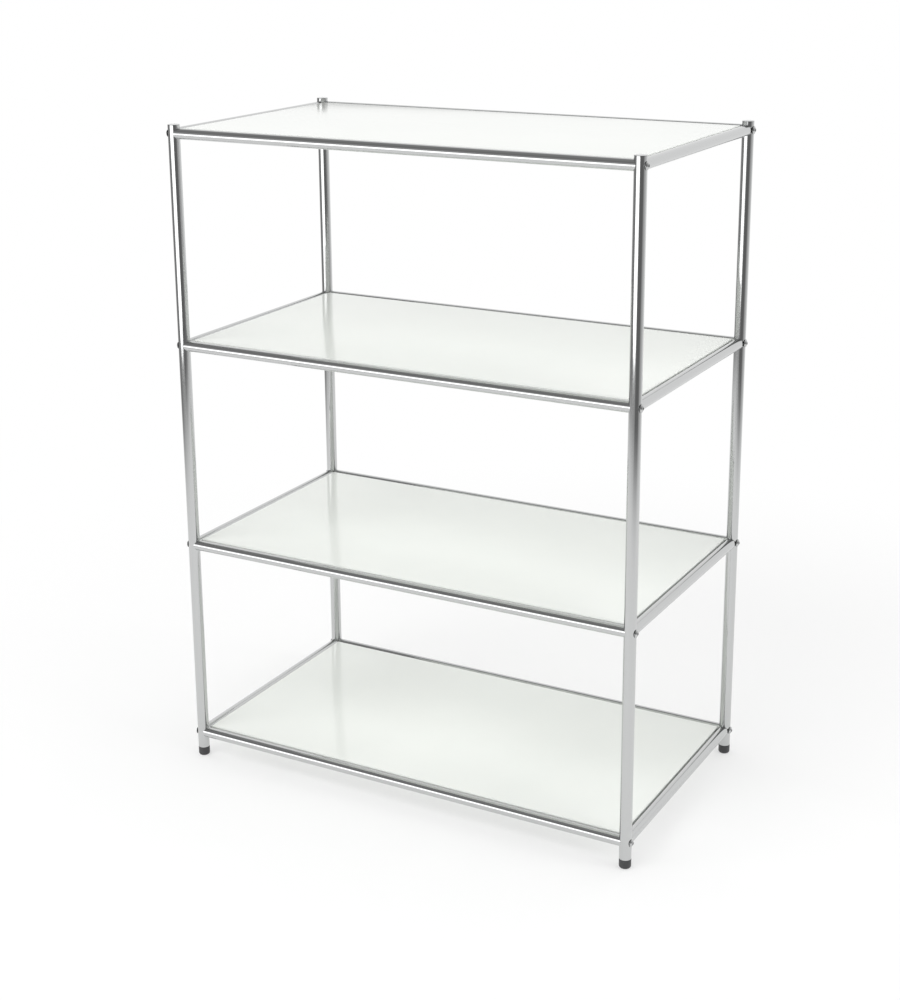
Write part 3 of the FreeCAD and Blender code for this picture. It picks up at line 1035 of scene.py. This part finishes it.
def studio_world():
    """The walls of the studio, its dim ceiling and its white ground."""
    world = bpy.data.worlds.new("studio")
    world.use_nodes = True
    tree = world.node_tree
    tree.nodes.clear()
    direction = add(tree, "ShaderNodeTexCoord").outputs["Generated"]
    from_rear = add(tree, "ShaderNodeMapping", {"Rotation": (0, 0, math.pi / 2)}, {"Vector": direction})
    gradient = add(tree, "ShaderNodeTexGradient", {"gradient_type": "RADIAL"}, {"Vector": from_rear})
    bearing = gradient.outputs["Fac"]
    rise = add(tree, "ShaderNodeSeparateXYZ", links={"Vector": direction}).outputs["Z"]
    tone = grey_ramp(tree, bearing, LOW_WALL).outputs["Color"]
    layers = (
        (HIGH_WALL_RISE, grey_ramp(tree, bearing, HIGH_WALL).outputs["Color"]),
        (CEILING_RISE, CEILING),
        (GROUND_RISE, GROUND),
    )
    for (start, end), layer in layers:
        share = add(tree, "ShaderNodeMapRange",
                    {"interpolation_type": "SMOOTHSTEP", "From Min": start, "From Max": end},
                    {"Value": rise})
        mix = add(tree, "ShaderNodeMix", {"data_type": "RGBA"}, {"Factor": share, "A": tone})
        if isinstance(layer, float):
            mix.inputs["B"].default_value = (layer, layer, layer, 1)
        else:
            tree.links.new(layer, mix.inputs["B"])
        tone = mix.outputs["Result"]
    light = add(tree, "ShaderNodeBackground", links={"Color": tone})
    add(tree, "ShaderNodeOutputWorld", links={"Surface": light})
    return world


def softbox(name, place, aim, width, height, level, mirrored):
    """A soft rectangular lamp of an even brightness."""
    lamp = bpy.data.lights.new(name, "AREA")
    lamp.shape = "RECTANGLE"
    lamp.size = width
    lamp.size_y = height
    lamp.energy = math.pi * width * height * level
    made = bpy.data.objects.new(name, lamp)
    made.location = place
    made.rotation_euler = (Vector(aim) - Vector(place)).to_track_quat("-Z", "Y").to_euler()
    made.visible_camera = False
    made.visible_glossy = mirrored
    bpy.context.scene.collection.objects.link(made)


def floor_paper(stage):
    """White paper that glows a little and thins away toward its edge."""
    paper = bpy.data.materials.new("white_studio_floor")
    paper.use_nodes = True
    tree = paper.node_tree
    tree.nodes.clear()
    place = add(tree, "ShaderNodeTexCoord").outputs["Object"]
    away = add(tree, "ShaderNodeVectorMath", {"operation": "LENGTH"}, {0: place}).outputs["Value"]
    # Near the bookcase half of the floor's light is its own, which keeps the shadow soft. Farther out all is.
    glow_start = 0.5
    glow_end = 1.8
    least_glow = 0.5
    glow = add(tree, "ShaderNodeMapRange",
               {"interpolation_type": "SMOOTHSTEP", "From Min": glow_start, "From Max": glow_end,
                "To Min": least_glow, "To Max": 1.0},
               {"Value": away})
    # Farther out the floor thins away, so that it runs into the wall without an edge.
    fade_start = 1.6
    fade_end = 0.98 * stage.floor_radius
    fade = add(tree, "ShaderNodeMapRange",
               {"interpolation_type": "SMOOTHSTEP", "From Min": fade_start, "From Max": fade_end},
               {"Value": away})
    lit = add(tree, "ShaderNodeBsdfDiffuse", {"Color": (*stage.floor, 1)})
    white = add(tree, "ShaderNodeEmission", {"Strength": 1.0})
    solid = add(tree, "ShaderNodeMixShader", links={0: glow, 1: lit, 2: white})
    clear = add(tree, "ShaderNodeBsdfTransparent")
    surface = add(tree, "ShaderNodeMixShader", links={0: fade, 1: solid, 2: clear})
    add(tree, "ShaderNodeOutputMaterial", links={"Surface": surface})
    return paper


class BOOKCASE_OT_stage(bpy.types.Operator):
    """Make the floor, the studio light and the camera"""

    bl_idname = "bookcase.stage"
    bl_label = "Stage"

    def execute(self, context):
        stage = context.scene.bookcase_stage
        floor_sides = 180
        floor_drop = 0.05 * MM
        shape = bmesh.new()
        bmesh.ops.create_circle(shape, cap_ends=True, segments=floor_sides, radius=stage.floor_radius)
        mesh = bpy.data.meshes.new("floor")
        shape.to_mesh(mesh)
        shape.free()
        floor = link_mesh("floor", mesh)
        floor.location.z = -floor_drop
        mesh.materials.append(floor_paper(stage))

        for name, lamp in LAMPS.items():
            softbox(name, **lamp)
        context.scene.world = studio_world()
        context.scene.view_settings.view_transform = "Standard"

        lens = bpy.data.cameras.new("photograph")
        lens.lens = stage.camera_lens
        lens.sensor_width = 36.0
        lens.shift_y = stage.camera_rise
        camera = bpy.data.objects.new("photograph", lens)
        turn = Matrix.Rotation(stage.camera_turn, 4, "Z")
        tilt = Matrix.Rotation(math.pi / 2 - stage.camera_tilt, 4, "X")
        roll = Matrix.Rotation(stage.camera_roll, 4, "Z")
        camera.matrix_world = Matrix.Translation(stage.camera_place) @ turn @ tilt @ roll
        context.scene.collection.objects.link(camera)
        context.scene.camera = camera
        return {"FINISHED"}


OPERATORS = (
    BOOKCASE_OT_posts,
    BOOKCASE_OT_rails,
    BOOKCASE_OT_bolts,
    BOOKCASE_OT_shelves,
    BOOKCASE_OT_feet,
    BOOKCASE_OT_fittings,
    BOOKCASE_OT_stage,
)


class BOOKCASE_PT_panel(bpy.types.Panel):
    """The bookcase's pieces"""

    bl_idname = "BOOKCASE_PT_panel"
    bl_label = "Bookcase"
    bl_space_type = "VIEW_3D"
    bl_region_type = "UI"
    bl_category = "Bookcase"

    def draw(self, context):
        for operator in OPERATORS:
            self.layout.operator(operator.bl_idname)


def register():
    for name, group in PROPERTY_GROUPS.items():
        bpy.utils.register_class(group)
        setattr(bpy.types.Scene, name, bpy.props.PointerProperty(type=group))
    for operator in OPERATORS:
        bpy.utils.register_class(operator)
    bpy.utils.register_class(BOOKCASE_PT_panel)


def unregister():
    bpy.utils.unregister_class(BOOKCASE_PT_panel)
    for operator in reversed(OPERATORS):
        bpy.utils.unregister_class(operator)
    for name, group in PROPERTY_GROUPS.items():
        delattr(bpy.types.Scene, name)
        bpy.utils.unregister_class(group)


def main():
    register()
    bpy.ops.bookcase.posts()
    bpy.ops.bookcase.rails()
    bpy.ops.bookcase.bolts()
    bpy.ops.bookcase.shelves()
    bpy.ops.bookcase.feet()
    bpy.ops.bookcase.fittings()
    bpy.ops.bookcase.stage()


if __name__ == "__main__":
    main()
